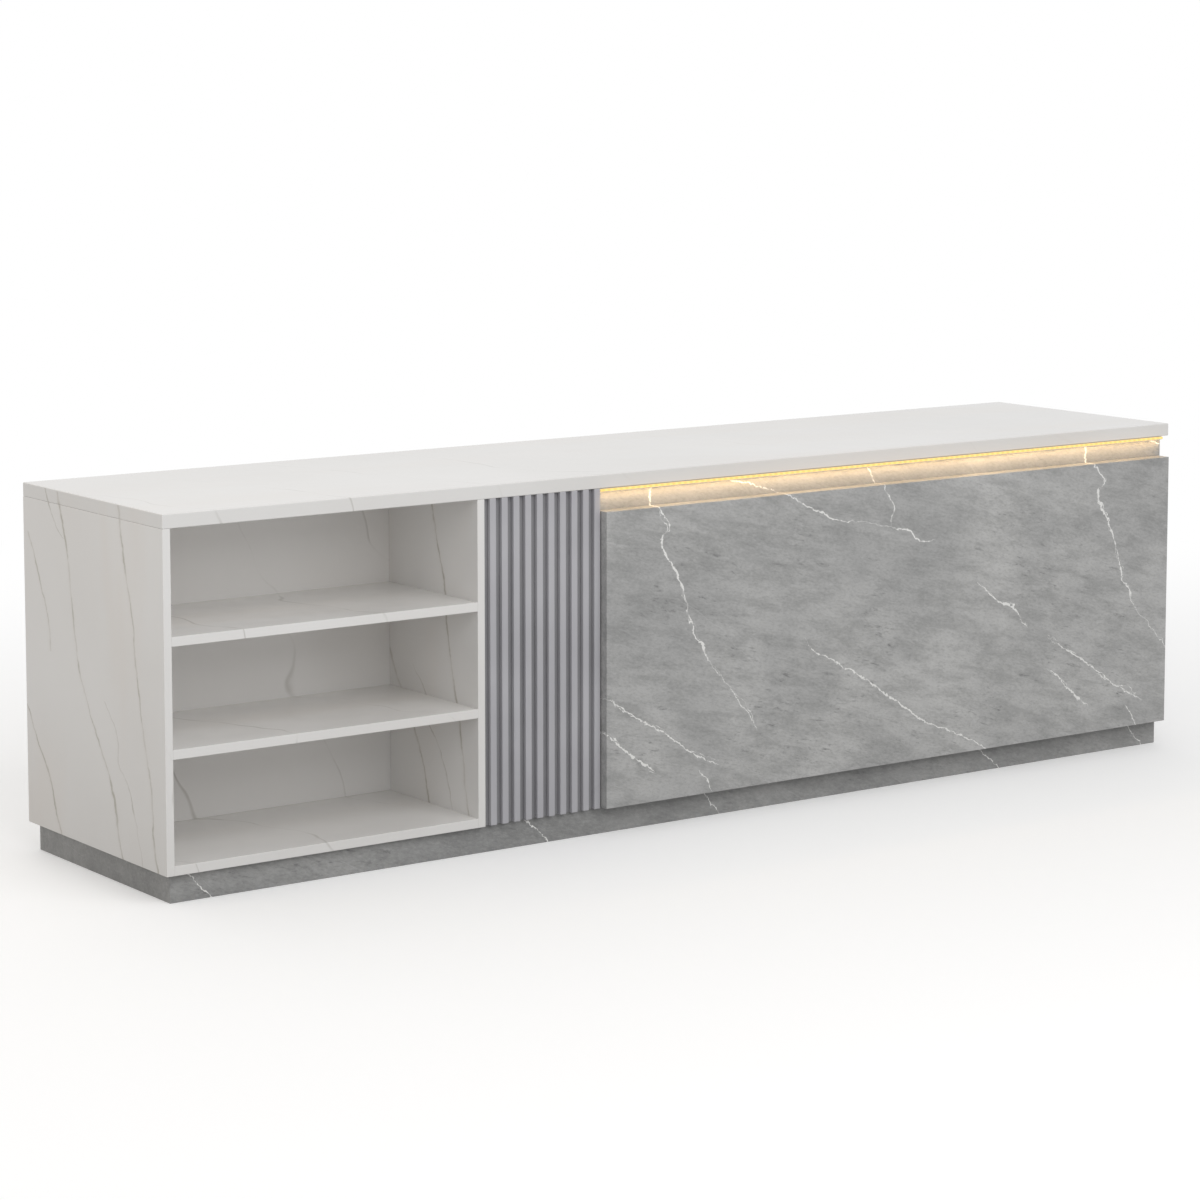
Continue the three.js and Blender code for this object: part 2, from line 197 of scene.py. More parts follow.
class Finish:
    """One node-based material, built with short calls that return sockets."""

    def __init__(self, name, **sockets):
        self.material = bpy.data.materials.new(name)
        self.material.use_nodes = True
        self.tree = self.material.node_tree
        self.shader = self.tree.nodes["Principled BSDF"]
        for key, value in sockets.items():
            self.shader.inputs[key.replace("_", " ")].default_value = value
        self.coords = self.tree.nodes.new("ShaderNodeTexCoord")
        self.place = self.coords.outputs["Object"]

    def feed(self, socket, value):
        """Links a socket to a node's output, or gives it a plain value."""
        if isinstance(value, bpy.types.NodeSocket):
            self.tree.links.new(value, socket)
        elif value is not None:
            socket.default_value = value

    def set(self, socket, value):
        """Gives one of the shader's sockets a value that varies over the surface."""
        self.feed(self.shader.inputs[socket], value)

    def math(self, operation, *values):
        node = self.tree.nodes.new("ShaderNodeMath")
        node.operation = operation
        for socket, value in zip(node.inputs, values):
            self.feed(socket, value)
        return node.outputs[0]

    def vector(self, operation, *values):
        node = self.tree.nodes.new("ShaderNodeVectorMath")
        node.operation = operation
        for socket, value in zip(node.inputs, values):
            self.feed(socket, value)
        return node.outputs["Vector"]

    def axes(self, vector):
        node = self.tree.nodes.new("ShaderNodeSeparateXYZ")
        self.feed(node.inputs[0], vector)
        return node.outputs

    def stretch(self, scale, turn=(0, 0, 0)):
        """The place, turned by degrees about each axis and then scaled along each axis."""
        node = self.tree.nodes.new("ShaderNodeMapping")
        node.vector_type = "POINT"
        self.feed(node.inputs["Vector"], self.place)
        node.inputs["Rotation"].default_value = [math.radians(a) for a in turn]
        return self.vector("MULTIPLY", node.outputs[0], scale)

    def noise(self, scale, detail=2, rough=0.5, twist=0, vector=None, output="Fac"):
        """Blender's noise, over vector or else over the place on the counter."""
        node = self.tree.nodes.new("ShaderNodeTexNoise")
        self.feed(node.inputs["Vector"], vector or self.place)
        settings = {"Scale": scale, "Detail": detail, "Roughness": rough, "Distortion": twist}
        for socket, value in settings.items():
            node.inputs[socket].default_value = value
        return node.outputs[output]

    def shake(self, place, reach, scale, detail, rough):
        """A place moved about by noise, by up to half of reach either way."""
        drift = self.vector("SUBTRACT", self.noise(scale, detail, rough, output="Color"), (0.5, 0.5, 0.5))
        return self.vector("MULTIPLY_ADD", drift, (reach, reach, reach), place)

    def ramp(self, value, low, high, start=0.0, end=1.0):
        """start below low, end above high, and a smooth change between."""
        node = self.tree.nodes.new("ShaderNodeMapRange")
        node.interpolation_type = "SMOOTHSTEP"
        for socket, given in zip(node.inputs, (value, low, high, start, end)):
            self.feed(socket, given)
        return node.outputs[0]

    def mix(self, factor, first, second):
        node = self.tree.nodes.new("ShaderNodeMix")
        node.data_type = "RGBA"
        self.feed(node.inputs[0], factor)
        self.feed(node.inputs[6], first)
        self.feed(node.inputs[7], second)
        return node.outputs[2]

    def both(self, first, second):
        """Two amounts together: none where either is none."""
        return self.math("MULTIPLY", first, second)

    def lay(self, color, amount, strength, tint):
        """The color with tint laid over it, by amount times strength."""
        return self.mix(self.both(amount, strength), color, tint)

    def curve(self, value, points, smooth=True):
        """A smooth line through points, each (from 0 to 1, result)."""
        node = self.tree.nodes.new("ShaderNodeFloatCurve")
        node.mapping.use_clip = False
        line = node.mapping.curves[0]
        while len(line.points) < len(points):
            line.points.new(0.5, 0.5)
        for point, (at, result) in zip(line.points, points):
            point.location = (at, result)
            point.handle_type = "AUTO" if smooth else "VECTOR"
        node.mapping.update()
        self.feed(node.inputs["Value"], value)
        return node.outputs[0]

    def bands(self, facing, spacing, sway, half_width):
        """Thin roughly parallel lines, spacing apart, across the direction facing."""
        along = self.tree.nodes.new("ShaderNodeVectorMath")
        along.operation = "DOT_PRODUCT"
        self.feed(along.inputs[0], self.place)
        along.inputs[1].default_value = Vector(facing).normalized() / spacing
        shift = self.math("MULTIPLY", self.noise(1.9, 3, 0.5), sway)
        part = self.math("FRACT", self.math("ADD", along.outputs["Value"], shift))
        away = self.math("MULTIPLY", self.math("ABSOLUTE", self.math("SUBTRACT", part, 0.5)), spacing)
        return self.ramp(away, 0.0, half_width, 1.0, 0.0)

    def vein(self, along, across, line, ragged, soft=0.9 * MM):
        """A vein through points (along, across, half width in mm), thinned and broken by ragged."""
        start, end = line[0][0], line[-1][0]
        part = self.math("DIVIDE", self.math("SUBTRACT", along, start), end - start)
        middle = self.curve(part, [((a - start) / (end - start), b) for a, b, w in line])
        widths = [((a - start) / (end - start), w * MM) for a, b, w in line]
        width = self.curve(part, widths, smooth=False)
        within = self.math("COMPARE", part, 0.5, 0.5)
        off = self.math("ABSOLUTE", self.math("SUBTRACT", across, middle))
        spare = self.math("SUBTRACT", self.math("MULTIPLY", width, ragged), off)
        return self.math("MULTIPLY", within, self.ramp(spare, -soft, soft))

    def most(self, values):
        """The greatest of several values."""
        top = values[0]
        for value in values[1:]:
            top = self.math("MAXIMUM", top, value)
        return top

    def bump(self, height, distance, strength):
        node = self.tree.nodes.new("ShaderNodeBump")
        node.inputs["Strength"].default_value = strength
        node.inputs["Distance"].default_value = distance
        self.feed(node.inputs["Height"], height)
        self.set("Normal", node.outputs[0])


def grey(value):
    return (value, value, value, 1)


# The grey print's veins, as (along, across, half width in mm). The first two run down the panel
# and are (z, x); the others run along it and are (x, z). The print repeats along the counter.
PRINT_LENGTH = 1.315
PRINT_START = -0.35
VEINS_DOWN = [
    [(0.19, 0.10, 0), (0.21, 0.09, 1.3), (0.24, 0.07, 1.2), (0.30, 0.02, 0.5), (0.375, -0.05, 0.6),
     (0.405, -0.06, 2.4), (0.43, -0.085, 1.0), (0.455, -0.09, 1.9), (0.485, -0.10, 0.7),
     (0.52, -0.11, 1.3), (0.57, -0.13, 2.2), (0.65, -0.17, 2.6), (0.658, -0.165, 0),
     (0.668, -0.15, 1.4), (0.72, -0.18, 2.2), (0.80, -0.165, 1.8)],
    [(0.625, 0.49, 0), (0.64, 0.49, 1.1), (0.66, 0.50, 1.3), (0.72, 0.47, 1.3), (0.80, 0.42, 1.2)],
]
VEINS_ALONG = [
    [(0.0, 0.775, 1.2), (0.03, 0.765, 1.3), (0.16, 0.73, 1.3), (0.235, 0.69, 1.2), (0.31, 0.66, 1.2),
     (0.40, 0.64, 0.3), (0.50, 0.62, 0.4), (0.545, 0.61, 1.9), (0.57, 0.59, 1.8), (0.63, 0.58, 0)],
    [(0.24, 0.39, 0), (0.255, 0.365, 0.8), (0.30, 0.335, 0.9), (0.36, 0.30, 1.9), (0.46, 0.245, 1.9),
     (0.54, 0.19, 1.9), (0.60, 0.15, 1.4), (0.78, 0.07, 1.4), (0.88, -0.02, 1.4)],
    [(0.755, 0.465, 0), (0.77, 0.455, 1.2), (0.825, 0.415, 2.2), (0.88, 0.385, 2.4), (0.91, 0.35, 1.3),
     (0.92, 0.34, 0)],
    [(-0.33, 0.315, 0), (-0.27, 0.275, 1.4), (-0.18, 0.225, 1.5), (-0.11, 0.175, 1.4), (-0.03, 0.13, 1),
     (-0.01, 0.12, 0)],
    [(-0.33, 0.235, 0), (-0.30, 0.215, 3), (-0.26, 0.18, 2.2), (-0.21, 0.145, 2.6), (-0.19, 0.13, 0)],
    [(-0.07, 0.12, 0), (-0.055, 0.105, 1.8), (-0.02, 0.05, 2), (0.03, -0.01, 1.6)],
]

# The white print's veins on the counter's ends, as (z, y, half width in mm).
END_VEINS = [
    [(0.02, -0.125, 2.4), (0.10, -0.10, 2.6), (0.175, -0.08, 2.6), (0.225, -0.055, 2.4), (0.28, -0.02, 2),
     (0.38, 0.045, 2), (0.48, 0.085, 1.6), (0.60, 0.10, 1.8), (0.73, 0.135, 2.2), (0.80, 0.157, 2.6)],
    [(0.02, -0.28, 2), (0.12, -0.25, 2), (0.24, -0.235, 2.2), (0.36, -0.205, 2), (0.48, -0.18, 1.4),
     (0.57, -0.17, 1.6), (0.65, -0.145, 2), (0.70, -0.13, 2.2), (0.80, -0.115, 2)],
    [(0.45, 0.20, 0), (0.54, 0.22, 1.4), (0.61, 0.25, 1.4), (0.70, 0.30, 1.2)],
    [(0.02, 0.14, 2), (0.11, 0.19, 2), (0.165, 0.21, 1.8), (0.25, 0.27, 1.6), (0.32, 0.318, 1.4)],
    [(0.06, -0.20, 0), (0.18, -0.16, 1.2), (0.23, -0.13, 1.6), (0.26, -0.10, 1.6), (0.305, -0.10, 1.2),
     (0.38, -0.04, 0)],
    [(0.70, 0.135, 0), (0.73, 0.17, 1.4), (0.77, 0.20, 1.6), (0.80, 0.215, 1.2)],
]


def grey_marble(name, tone, cloudy=1.0):
    """Mid-grey stone print: soft clouds, slanting dark flecks, hair streaks and white veins.
    tone is how pale its ground is, and cloudy is how strong its clouds are."""
    m = Finish(name, Roughness=0.36)
    clouded = (1 - 0.25 * cloudy) * tone
    dim = (clouded, clouded, 0.99 * clouded, 1)
    pale_ground = (1.03 * tone, 1.025 * tone, 1.005 * tone, 1)
    # The veins wander broadly, kink every few centimetres and splinter along their edges.
    wandering = m.shake(m.place, 22 * MM, 6, 3, 0.5)
    kinked = m.shake(wandering, 16 * MM, 48, 3, 0.6)
    splintered = m.shake(kinked, 6.5 * MM, 150, 2, 0.6)
    x, _, z = m.axes(splintered)
    x = m.math("WRAP", x, PRINT_START + PRINT_LENGTH, PRINT_START)
    ragged = m.ramp(m.noise(85, 3, 0.6), 0.3, 0.62, 0.05, 1.5)
    veins = [m.vein(z, x, line, ragged) for line in VEINS_DOWN]
    veins += [m.vein(x, z, line, ragged) for line in VEINS_ALONG]
    # A second strand beside each vein, which crosses it and leaves it again.
    apart = m.math("MULTIPLY", m.math("SUBTRACT", m.noise(17, 2), 0.5), 0.05)
    thin = m.ramp(m.noise(60, 2), 0.42, 0.66, 0, 0.85)
    veins += [m.vein(z, m.math("ADD", x, apart), line, thin) for line in VEINS_DOWN[:1]]
    veins += [m.vein(x, m.math("ADD", z, apart), line, thin) for line in VEINS_ALONG[2:5]]
    clouds = m.noise(2.3, 6, 0.62, 0.4)
    fibres = m.noise(1, 9, 0.74, 0.25, m.stretch((9, 26, 30), (0, -13, 0)))
    slanted = m.stretch((24, 40, 110), (0, -14, 0))
    flecks = m.ramp(m.noise(1, 6, 0.7, 0.3, slanted), 0.55, 0.72)
    fleck_patches = m.ramp(m.noise(3.8, 3, 0.55), 0.44, 0.62)
    pale = m.ramp(m.noise(1, 6, 0.7, 0.2, m.stretch((20, 33, 80), (0, -16, 0))), 0.56, 0.74)
    hairs = m.bands((0.56, 0.1, 0.82), 0.17, 1.4, 1.6 * MM)
    hair_patches = m.ramp(m.noise(4.3, 3), 0.46, 0.66)
    color = m.mix(m.ramp(clouds, 0.32, 0.68), dim, pale_ground)
    color = m.mix(m.ramp(fibres, 0.34, 0.62, 0.42 * cloudy, 0), color, (0.19, 0.192, 0.188, 1))
    color = m.lay(color, m.both(flecks, fleck_patches), 0.75, grey(0.12))
    color = m.lay(color, pale, 0.26, grey(0.58))
    grain = m.noise(1, 5, 0.75, 0.1, m.stretch((90, 150, 210), (0, -15, 0)))
    color = m.mix(m.ramp(grain, 0.3, 0.54, 0.3, 0), color, grey(0.15))
    color = m.mix(m.ramp(grain, 0.5, 0.72, 0, 0.26), color, grey(0.62))
    color = m.lay(color, m.both(hairs, hair_patches), 0.3, grey(0.62))
    halo = m.most([m.vein(z, x, line, 1.0, 8 * MM) for line in VEINS_DOWN])
    color = m.lay(color, halo, 0.15, grey(0.62))
    color = m.lay(color, m.most(veins), 0.96, (0.93, 0.925, 0.90, 1))
    m.set("Base Color", color)
    m.set("Roughness", m.ramp(fibres, 0.3, 0.7, 0.42, 0.32))
    m.bump(fibres, 0.04 * MM, 0.3)
    return m.material


def white_marble(name, gloss, fine, tone):
    """Warm white stone print with soft olive-brown veins. fine is how strong the small ones are,
    and tone is how pale its ground is."""
    m = Finish(name, Roughness=gloss)
    dim = (0.96 * tone, 0.942 * tone, 0.918 * tone, 1)
    pale_ground = (1.02 * tone, 1.008 * tone, 0.99 * tone, 1)
    wandering = m.shake(m.place, 22 * MM, 9, 4, 0.6)
    _, y, z = m.axes(m.shake(wandering, 9 * MM, 45, 3, 0.6))
    # The counter's ends have veins of their own, which the worktop's edge continues.
    facing = m.math("ABSOLUTE", m.axes(m.coords.outputs["Normal"])[0])
    is_end = m.math("GREATER_THAN", facing, 0.6)
    ragged = m.ramp(m.noise(21, 3, 0.55), 0.3, 0.64, 0.15, 1.5)
    uneven = m.ramp(m.noise(13, 3, 0.6), 0.36, 0.62, 0.35, 1)
    on_ends = m.most([m.vein(z, y, line, ragged, 3.4 * MM) for line in END_VEINS])
    aura = m.most([m.vein(z, y, line, ragged, 16 * MM) for line in END_VEINS[:4]])
    # Elsewhere small veins run roughly side by side, in patches.
    long = m.bands((0.86, 0.32, 0.36), 0.29, 1.35, 4 * MM)
    broken = m.ramp(m.noise(7, 3, 0.6), 0.4, 0.62, 0.1, 1)
    patches = m.ramp(m.noise(1.9, 1), 0.37, 0.55)
    small = m.both(m.both(m.both(long, patches), broken), m.math("SUBTRACT", 1, is_end))
    clouds = m.ramp(m.noise(1.4, 3, 0.5, 0.3), 0.3, 0.7)
    color = m.mix(clouds, dim, pale_ground)
    streaks = m.ramp(m.noise(1, 3, 0.5, 0.2, m.stretch((0.7, 4.5, 1.2), (0, 0, 6))), 0.42, 0.75)
    color = m.lay(color, streaks, 0.4, (0.83, 0.765, 0.70, 1))
    color = m.lay(color, small, fine, (0.47, 0.45, 0.41, 1))
    color = m.lay(color, m.both(aura, is_end), 0.15, (0.55, 0.48, 0.38, 1))
    color = m.lay(color, m.both(m.both(on_ends, uneven), is_end), 0.72, (0.39, 0.36, 0.29, 1))
    m.set("Base Color", color)
    m.set("Roughness", m.ramp(m.noise(9, 2), 0.3, 0.7, gloss * 0.88, gloss * 1.15))
    m.bump(m.noise(14, 2), 0.12 * MM, 0.4)
    return m.material


def lacquer(name, low, high, gloss):
    """Sprayed lacquer: even colour, slight pooling and orange peel."""
    m = Finish(name, Roughness=gloss)
    m.set("Base Color", m.mix(m.ramp(m.noise(6, 3), 0.3, 0.7), low, high))
    m.set("Roughness", m.ramp(m.noise(90, 2), 0.3, 0.7, gloss * 0.9, gloss * 1.15))
    m.bump(m.noise(650, 2, 0.4), 0.08 * MM, 0.5)
    return m.material


def melamine(name, low, high, fleck):
    """Foil-faced board with a fine pressed texture and small specks."""
    m = Finish(name, Roughness=0.45)
    base = m.mix(m.ramp(m.noise(3, 3), 0.3, 0.7), low, high)
    specks = m.ramp(m.noise(900, 2), 0.66, 0.74, 0, 0.35)
    m.set("Base Color", m.mix(specks, base, fleck))
    m.set("Roughness", m.ramp(m.noise(200, 2), 0.3, 0.7, 0.4, 0.52))
    m.bump(m.noise(1100, 3), 0.06 * MM, 0.5)
    return m.material


def linen():
    """Drawer lining: a printed weave of fine crossed threads."""
    m = Finish("drawer_lining", Roughness=0.55)
    x, y, z = m.axes(m.place)
    pitch = 0.9 * MM
    threads = 2 * math.pi / pitch
    warp = m.math("SINE", m.math("MULTIPLY", m.math("ADD", x, z), threads))
    weft = m.math("SINE", m.math("MULTIPLY", m.math("SUBTRACT", y, z), threads))
    cloth = m.math("MULTIPLY_ADD", m.math("ADD", warp, weft), 0.25, 0.5)
    uneven = m.math("MULTIPLY", cloth, m.ramp(m.noise(120, 3), 0.2, 0.8, 0.5, 1))
    m.set("Base Color", m.mix(uneven, (0.52, 0.50, 0.46, 1), (0.72, 0.70, 0.66, 1)))
    m.bump(uneven, 0.05 * MM, 0.5)
    return m.material


def metal(name, color, gloss, grain, depth=0.02):
    """Metal with a directional grain: grain is how tightly it is packed along each axis, and
    depth is how deep it is in mm."""
    m = Finish(name, Metallic=1.0, Roughness=gloss)
    lines = m.noise(1, 4, 0.7, 0, m.stretch(grain))
    dark = tuple(c * 0.82 for c in color[:3]) + (1,)
    m.set("Base Color", m.mix(m.ramp(lines, 0.3, 0.7), dark, color))
    m.set("Roughness", m.ramp(lines, 0.3, 0.7, gloss * 0.8, gloss * 1.3))
    m.bump(lines, depth * MM, 0.5)
    return m.material


def plastic(name, color, gloss, scale=500):
    """Moulded plastic with a light spark-eroded texture."""
    m = Finish(name, Roughness=gloss)
    pale = tuple(min(1, c * 1.25 + 0.01) for c in color[:3]) + (1,)
    m.set("Base Color", m.mix(m.ramp(m.noise(12, 2), 0.3, 0.7), color, pale))
    m.set("Roughness", m.ramp(m.noise(80, 2), 0.3, 0.7, gloss * 0.85, gloss * 1.15))
    m.bump(m.noise(scale, 3), 0.08 * MM, 0.6)
    return m.material


def lit_lens():
    """Milky diffuser, lit from behind; a row of soft hot spots shows where the diodes are."""
    m = Finish("led_lens", Roughness=0.35)
    m.shader.inputs["Emission Strength"].default_value = 1.0
    x = m.axes(m.place)[0]
    diode_pitch = 16 * MM
    spots = m.math("COSINE", m.math("MULTIPLY", x, 2 * math.pi / diode_pitch))
    m.set("Base Color", m.mix(m.noise(60), (0.25, 0.18, 0.06, 1), (0.3, 0.22, 0.08, 1)))
    m.set("Emission Color", m.mix(m.ramp(spots, -1, 1), (0.86, 0.60, 0.17, 1), (0.94, 0.70, 0.24, 1)))
    m.bump(m.noise(300), 0.02 * MM, 0.3)
    return m.material


MATERIALS = {
    "worktop_marble": white_marble("worktop_marble", 0.12, 0.48, 0.833),
    "white_marble_board": white_marble("white_marble_board", 0.22, 0.55, 0.875),
    "grey_marble_board": grey_marble("grey_marble_board", 0.57),
    "slat_lacquer": lacquer("slat_lacquer", (0.48, 0.475, 0.5, 1), (0.54, 0.535, 0.56, 1), 0.42),
    # The backing's lacquer is darker than the slats': painted shade for the shade down in the grooves
    # between them.
    "slat_backing": lacquer("slat_backing", (0.27, 0.268, 0.28, 1), (0.31, 0.308, 0.32, 1), 0.5),
    "carcass_board": melamine("carcass_board", (0.74, 0.735, 0.72, 1), (0.80, 0.795, 0.78, 1), grey(0.62)),
    "drawer_lining": linen(),
    "handle_steel": metal("handle_steel", (0.58, 0.58, 0.59, 1), 0.2, (40, 40, 900)),
    "lock_chrome": metal("lock_chrome", (0.75, 0.75, 0.76, 1), 0.1, (600, 600, 600), 0.004),
    "runner_zinc": metal("runner_zinc", (0.60, 0.61, 0.62, 1), 0.36, (90, 90, 90)),
    "led_aluminium": metal("led_aluminium", (0.70, 0.70, 0.71, 1), 0.36, (3, 900, 900)),
    "led_lens": lit_lens(),
    "black_plastic": plastic("black_plastic", (0.022, 0.022, 0.024, 1), 0.42),
    "lead_sheath": plastic("lead_sheath", (0.03, 0.03, 0.032, 1), 0.4, 200),
}

# Two darker copies of the grey print. The plinth's is painted shade, standing in for the shade under the
# counter's overhang. The recess face's also has weaker clouds: painted light, where the glow washes its
# clouds out.
PLINTH_MARBLE_PAINTED_SHADE = grey_marble("plinth_marble_painted_shade", 0.42)
RECESS_MARBLE_PAINTED_LIGHT = grey_marble("recess_marble_painted_light", 0.46, 0.35)


# ---------------------------------------------------------------- the CAD nodes

def ease(node, radius, segments=3):
    """Rounds a CAD node's edges by modifiers, which leave its own mesh as it is."""
    modifiers = NODES[node].modifiers
    weld = modifiers.new("weld", "WELD")
    weld.merge_threshold = 0.01 * MM
    merge = modifiers.new("merge", "DECIMATE")
    merge.decimate_type = "DISSOLVE"
    merge.angle_limit = math.radians(1)
    bevel = modifiers.new("ease", "BEVEL")
    bevel.width = radius
    bevel.segments = segments
    bevel.limit_method = "ANGLE"
    bevel.angle_limit = math.radians(40)


def dress(node, slot):
    for holder in NODES[node].material_slots:
        holder.material = MATERIALS[slot]


def dress_cad():
    """Each CAD node takes the material of its record slot, and eased edges where it is a board."""
    for row in frame["record"]["subparts"]:
        node = row["node"]
        dress(node, row["material_slot"])
        if row["material_slot"] == "slat_lacquer":
            ease(node, 1.6 * MM, 4)
        elif node == "worktop":
            ease(node, 2 * MM, 4)
        elif "runner" in node:
            ease(node, 0.4 * MM, 2)
        elif node not in ("led_lead", "led_lens", "led_channel"):
            ease(node, 0.8 * MM)
    # The plinth takes the darker copy of the grey print: painted shade for the shade under the counter's
    # overhang.
    for side in ("front", "rear", "left", "right"):
        for holder in NODES["plinth_" + side].material_slots:
            holder.material = PLINTH_MARBLE_PAINTED_SHADE
    # Only the recess's face of the front board is veneered in stone print.
    dress("carcass_front_board", "carcass_board")
    rounded = NODES["led_lead"].modifiers.new("round", "SUBSURF")
    rounded.levels = rounded.render_levels = 2


# ---------------------------------------------------------------- mesh helpers

def piece(name, bm, body, slot, sharp=35):
    """Turns bm into a shown piece that rides on body, smooth apart from edges over sharp degrees."""
    bmesh.ops.recalc_face_normals(bm, faces=bm.faces)
    mesh = bpy.data.meshes.new(name)
    bm.to_mesh(mesh)
    bm.free()
    mesh.shade_smooth()
    mesh.set_sharp_from_angle(angle=math.radians(sharp))
    mesh.materials.append(MATERIALS[slot])
    thing = bpy.data.objects.new(name, mesh)
    bpy.context.scene.collection.objects.link(thing)
    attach(thing, body)
    return thing


def add_box(bm, low, high, radius=0.0, segments=2):
    """A box between its lowest and highest corners, its edges rounded by radius."""
    low, high = Vector(low), Vector(high)
    grow = Matrix.Translation((low + high) / 2) @ Matrix.Diagonal((*(high - low), 1))
    verts = bmesh.ops.create_cube(bm, size=1, matrix=grow)["verts"]
    if radius:
        # Each edge once, in an order that is the same every time.
        edges = list(dict.fromkeys(edge for vert in verts for edge in vert.link_edges))
        bmesh.ops.bevel(bm, geom=edges, offset=radius, segments=segments, affect="EDGES", profile=0.5)


def axis_frame(at, axis):
    """A matrix whose Z runs along axis, at the point at."""
    return Matrix.Translation(at) @ Vector(axis).to_track_quat("Z", "Y").to_matrix().to_4x4()


def add_turned(bm, profile, at, axis, sides=32):
    """A closed solid turned from (radius, height) points; the first and last lie on the axis."""
    turn = axis_frame(at, axis)
    rings = []
    for radius, height in profile:
        if radius == 0:
            rings.append([bm.verts.new(turn @ Vector((0, 0, height)))])
            continue
        ring = []
        for i in range(sides):
            angle = 2 * math.pi * i / sides
            place = Vector((radius * math.cos(angle), radius * math.sin(angle), height))
            ring.append(bm.verts.new(turn @ place))
        rings.append(ring)
    for near, far in zip(rings, rings[1:]):
        for i in range(sides):
            j = (i + 1) % sides
            corners = [near[i % len(near)], near[j % len(near)], far[j % len(far)], far[i % len(far)]]
            bm.faces.new(list(dict.fromkeys(corners)))


def add_disc(bm, at, axis, radius, thick, edge=0.3 * MM, sides=24):
    """A flat round cap whose back is at the point at and whose front edge is eased."""
    add_turned(bm, [(0, 0), (radius, 0), (radius, thick - edge), (radius - edge, thick), (0, thick)],
               at, axis, sides)


def add_extruded(bm, outline, place, start, end):
    """A closed outline of (a, b) points, carried by place(a, b, t) from t = start to t = end."""
    near = [bm.verts.new(place(a, b, start)) for a, b in outline]
    far = [bm.verts.new(place(a, b, end)) for a, b in outline]
    bm.faces.new(near[::-1])
    bm.faces.new(far)
    for i in range(len(outline)):
        j = (i + 1) % len(outline)
        bm.faces.new([near[i], near[j], far[j], far[i]])


def add_screw(bm, at, axis, radius=3.5 * MM):
    """A pan head with a dished recess, its back at the point at."""
    # Each point as parts of the radius.
    profile = [(0, 0), (1, 0), (1, 0.25), (0.82, 0.52), (0.42, 0.66), (0.3, 0.3), (0, 0.22)]
    add_turned(bm, [(out * radius, up * radius) for out, up in profile], at, axis, 16)


# ---------------------------------------------------------------- handles and lock

def bow_path(half, reach, corner, steps=7):
    """A flat U from foot to foot as (along, out) points with tangents, its corners rounded."""
    points = [((-half, 0), (0, 1)), ((-half, reach - corner), (0, 1))]
    for side in (-1, 1):
        for i in range(1, steps + 1):
            turn = math.radians(90) * i / steps
            if side < 0:
                at = (-half + corner * (1 - math.cos(turn)), reach - corner * (1 - math.sin(turn)))
                points.append((at, (math.sin(turn), math.cos(turn))))
            else:
                at = (half - corner * (1 - math.sin(turn)), reach - corner * (1 - math.cos(turn)))
                points.append((at, (math.cos(turn), -math.sin(turn))))
        if side < 0:
            points.append(((half - corner, reach), (1, 0)))
    points.append(((half, 0), (0, -1)))
    return points


def bow_handle(node, body):
    """A forged bow handle: a flattened bar with soft corners on two round feet."""
    low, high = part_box(node)
    upright = high.z - low.z > high.x - low.x
    middle = (low + high) / 2
    deep = (high.x - low.x if upright else high.z - low.z) / 2
    span = (high.z - low.z if upright else high.x - low.x) / 2
    bar = 3.4 * MM  # half of the bar's thickness
    foot = 6.5 * MM  # a foot's radius
    roundness = 0.72  # 1 would make the bar's section an ellipse; less makes it squarer

    def place(along, out, across):
        if upright:
            return Vector((middle.x + across, low.y + out, middle.z + along))
        return Vector((middle.x + along, low.y + out, middle.z + across))

    bm = bmesh.new()
    rings = []
    sides = 20
    path = bow_path(span - foot, high.y - low.y - bar, 12 * MM)
    for (along, out), (go_along, go_out) in path:
        taper = 1 - 0.16 * abs(along) / span
        ring = []
        for i in range(sides):
            turn = 2 * math.pi * i / sides
            flat = [math.copysign(abs(f) ** roundness, f) for f in (math.cos(turn), math.sin(turn))]
            side_along, side_out = go_out * flat[0] * bar, -go_along * flat[0] * bar
            ring.append(bm.verts.new(place(along + side_along, out + side_out, flat[1] * deep * taper)))
        rings.append(ring)
    for near, far in zip(rings, rings[1:]):
        for i in range(sides):
            j = (i + 1) % sides
            bm.faces.new([near[i], near[j], far[j], far[i]])
    bm.faces.new(rings[0][::-1])
    bm.faces.new(rings[-1])
    for end in (-1, 1):
        add_disc(bm, place(end * (span - foot), 0, 0), (0, 1, 0), foot, 1.6 * MM, 0.5 * MM)
    made = piece(node + "_bow", bm, body, "handle_steel", 50)
    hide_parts(node)


